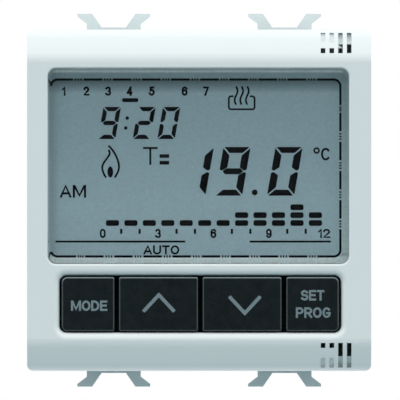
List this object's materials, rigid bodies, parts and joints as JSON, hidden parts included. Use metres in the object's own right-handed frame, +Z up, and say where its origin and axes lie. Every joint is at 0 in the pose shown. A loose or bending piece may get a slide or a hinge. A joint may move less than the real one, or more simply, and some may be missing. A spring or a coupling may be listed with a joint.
{
  "type": "programmable room thermostat with timer",
  "caption": "Flush-mounting programmable room thermostat and timer with segment display, keys, vented front cover, frame clips and rear terminals.",
  "frame": {"origin": "centre of the plane where the cover's rim seats on its support frame", "axes": "+X right seen from the front, +Y to the rear (front faces -Y), +Z up"},
  "size_m": [0.045, 0.048, 0.0492],
  "materials": {
    "cover_white": "fine polished white moulding",
    "clear_lens": "clear acrylic, polished",
    "lcd_film": "grey-green polarising film",
    "lcd_glass": "thin float glass",
    "lcd_back": "matt reflective film",
    "contact_rubber": "layered conductive silicone",
    "holder_white": "moulded, lightly textured",
    "key_charcoal": "fine satin moulding",
    "plunger_white": "moulded",
    "switch_black": "moulded",
    "board_green": "solder mask over glass fibre",
    "chip_black": "moulded epoxy",
    "can_steel": "drawn steel",
    "screw_steel": "zinc plated steel",
    "sensor_blue": "dipped epoxy",
    "pin_brass": "gold flashed brass",
    "header_black": "moulded",
    "relay_blue": "moulded case",
    "capacitor_yellow": "moulded box",
    "sleeve_dark": "shrunk sleeve over aluminium can",
    "varistor_blue": "dipped epoxy",
    "resistor_body": "lacquered",
    "diode_black": "moulded epoxy",
    "sheet_clear": "insulating film",
    "housing_white": "moulded, satin",
    "block_white": "moulded, satin",
    "contact_copper": "tinned copper alloy",
    "cage_steel": "plated steel",
    "clip_white": "moulded, satin"
  },
  "bodies": {
    "case": {"front_cover": "cover_white", "display_window": "clear_lens", "lcd_front_polariser": "lcd_film", "lcd_front_glass": "lcd_glass", "lcd_rear_glass": "lcd_glass", "lcd_reflector": "lcd_back", "contact_strip_upper": "contact_rubber", "contact_strip_lower": "contact_rubber", "display_holder": "holder_white", "logic_board": "board_green", "board_screws": "screw_steel", "microcontroller": "chip_black", "quartz_crystal": "can_steel", "backup_cell": "can_steel", "room_sensor": "sensor_blue", "pin_strip": "header_black", "link_pins": "pin_brass", "link_socket": "header_black", "power_board": "board_green", "power_board_screws": "screw_steel", "relay": "relay_blue", "dropper_capacitor": "capacitor_yellow", "smoothing_capacitor": "sleeve_dark", "varistor": "varistor_blue", "fusible_resistor": "resistor_body", "rectifier_diodes": "diode_black", "insulation_sheet": "sheet_clear", "rear_housing": "housing_white", "terminal_block": "block_white", "contact_bars": "contact_copper", "switch_mode": "switch_black", "switch_up": "switch_black", "switch_down": "switch_black", "switch_program": "switch_black"},
    "mode_key": {"key_mode": "key_charcoal", "plunger_mode": "plunger_white"},
    "up_key": {"key_up": "key_charcoal", "plunger_up": "plunger_white"},
    "down_key": {"key_down": "key_charcoal", "plunger_down": "plunger_white"},
    "program_key": {"key_program": "key_charcoal", "plunger_program": "plunger_white"},
    "top_left_clip": {"clip_top_left": "clip_white"},
    "top_right_clip": {"clip_top_right": "clip_white"},
    "bottom_left_clip": {"clip_bottom_left": "clip_white"},
    "bottom_right_clip": {"clip_bottom_right": "clip_white"},
    "screw_1": {"terminal_screw_1": "screw_steel"},
    "cage_1": {"terminal_cage_1": "cage_steel"},
    "screw_2": {"terminal_screw_2": "screw_steel"},
    "cage_2": {"terminal_cage_2": "cage_steel"},
    "screw_3": {"terminal_screw_3": "screw_steel"},
    "cage_3": {"terminal_cage_3": "cage_steel"},
    "screw_4": {"terminal_screw_4": "screw_steel"},
    "cage_4": {"terminal_cage_4": "cage_steel"},
    "screw_5": {"terminal_screw_5": "screw_steel"},
    "cage_5": {"terminal_cage_5": "cage_steel"}
  },
  "joints": [
    {"name": "mode_press", "type": "slide", "parent": "case", "child": "mode_key", "axis": [0, 1, 0], "range_m": [0, 0.0005], "stiffness_N_per_m": 1000, "springref_m": -0.001},
    {"name": "up_press", "type": "slide", "parent": "case", "child": "up_key", "axis": [0, 1, 0], "range_m": [0, 0.0005], "stiffness_N_per_m": 1000, "springref_m": -0.001},
    {"name": "down_press", "type": "slide", "parent": "case", "child": "down_key", "axis": [0, 1, 0], "range_m": [0, 0.0005], "stiffness_N_per_m": 1000, "springref_m": -0.001},
    {"name": "program_press", "type": "slide", "parent": "case", "child": "program_key", "axis": [0, 1, 0], "range_m": [0, 0.0005], "stiffness_N_per_m": 1000, "springref_m": -0.001},
    {"name": "top_left_flex", "type": "hinge", "parent": "case", "child": "top_left_clip", "pos_m": [-0.01125, 0.0186, 0.019], "axis": [1, 0, 0], "range_deg": [0, 10], "stiffness_Nm_per_rad": 0.5, "springref_deg": -0.57},
    {"name": "top_right_flex", "type": "hinge", "parent": "case", "child": "top_right_clip", "pos_m": [0.01125, 0.0186, 0.019], "axis": [1, 0, 0], "range_deg": [0, 10], "stiffness_Nm_per_rad": 0.5, "springref_deg": -0.57},
    {"name": "bottom_left_flex", "type": "hinge", "parent": "case", "child": "bottom_left_clip", "pos_m": [-0.01125, 0.0186, -0.019], "axis": [-1, 0, 0], "range_deg": [0, 10], "stiffness_Nm_per_rad": 0.5, "springref_deg": -0.57},
    {"name": "bottom_right_flex", "type": "hinge", "parent": "case", "child": "bottom_right_clip", "pos_m": [0.01125, 0.0186, -0.019], "axis": [-1, 0, 0], "range_deg": [0, 10], "stiffness_Nm_per_rad": 0.5, "springref_deg": -0.57},
    {"name": "screw_1_turn", "type": "hinge", "parent": "case", "child": "screw_1", "pos_m": [-0.01524, 0.033, -0.0145], "axis": [0, -1, 0], "range_deg": [0, 1800]},
    {"name": "cage_1_lift", "type": "slide", "parent": "case", "child": "cage_1", "axis": [0, 1, 0], "range_m": [0, 0.0025]},
    {"name": "screw_2_turn", "type": "hinge", "parent": "case", "child": "screw_2", "pos_m": [-0.00762, 0.033, -0.0145], "axis": [0, -1, 0], "range_deg": [0, 1800]},
    {"name": "cage_2_lift", "type": "slide", "parent": "case", "child": "cage_2", "axis": [0, 1, 0], "range_m": [0, 0.0025]},
    {"name": "screw_3_turn", "type": "hinge", "parent": "case", "child": "screw_3", "pos_m": [0, 0.033, -0.0145], "axis": [0, -1, 0], "range_deg": [0, 1800]},
    {"name": "cage_3_lift", "type": "slide", "parent": "case", "child": "cage_3", "axis": [0, 1, 0], "range_m": [0, 0.0025]},
    {"name": "screw_4_turn", "type": "hinge", "parent": "case", "child": "screw_4", "pos_m": [0.00762, 0.033, -0.0145], "axis": [0, -1, 0], "range_deg": [0, 1800]},
    {"name": "cage_4_lift", "type": "slide", "parent": "case", "child": "cage_4", "axis": [0, 1, 0], "range_m": [0, 0.0025]},
    {"name": "screw_5_turn", "type": "hinge", "parent": "case", "child": "screw_5", "pos_m": [0.01524, 0.033, -0.0145], "axis": [0, -1, 0], "range_deg": [0, 1800]},
    {"name": "cage_5_lift", "type": "slide", "parent": "case", "child": "cage_5", "axis": [0, 1, 0], "range_m": [0, 0.0025]}
  ],
  "couplings": [
    {"joint": "screw_1_turn", "follows": "cage_1_lift", "rad_per_m": 12566},
    {"joint": "screw_2_turn", "follows": "cage_2_lift", "rad_per_m": 12566},
    {"joint": "screw_3_turn", "follows": "cage_3_lift", "rad_per_m": 12566},
    {"joint": "screw_4_turn", "follows": "cage_4_lift", "rad_per_m": 12566},
    {"joint": "screw_5_turn", "follows": "cage_5_lift", "rad_per_m": 12566}
  ]
}
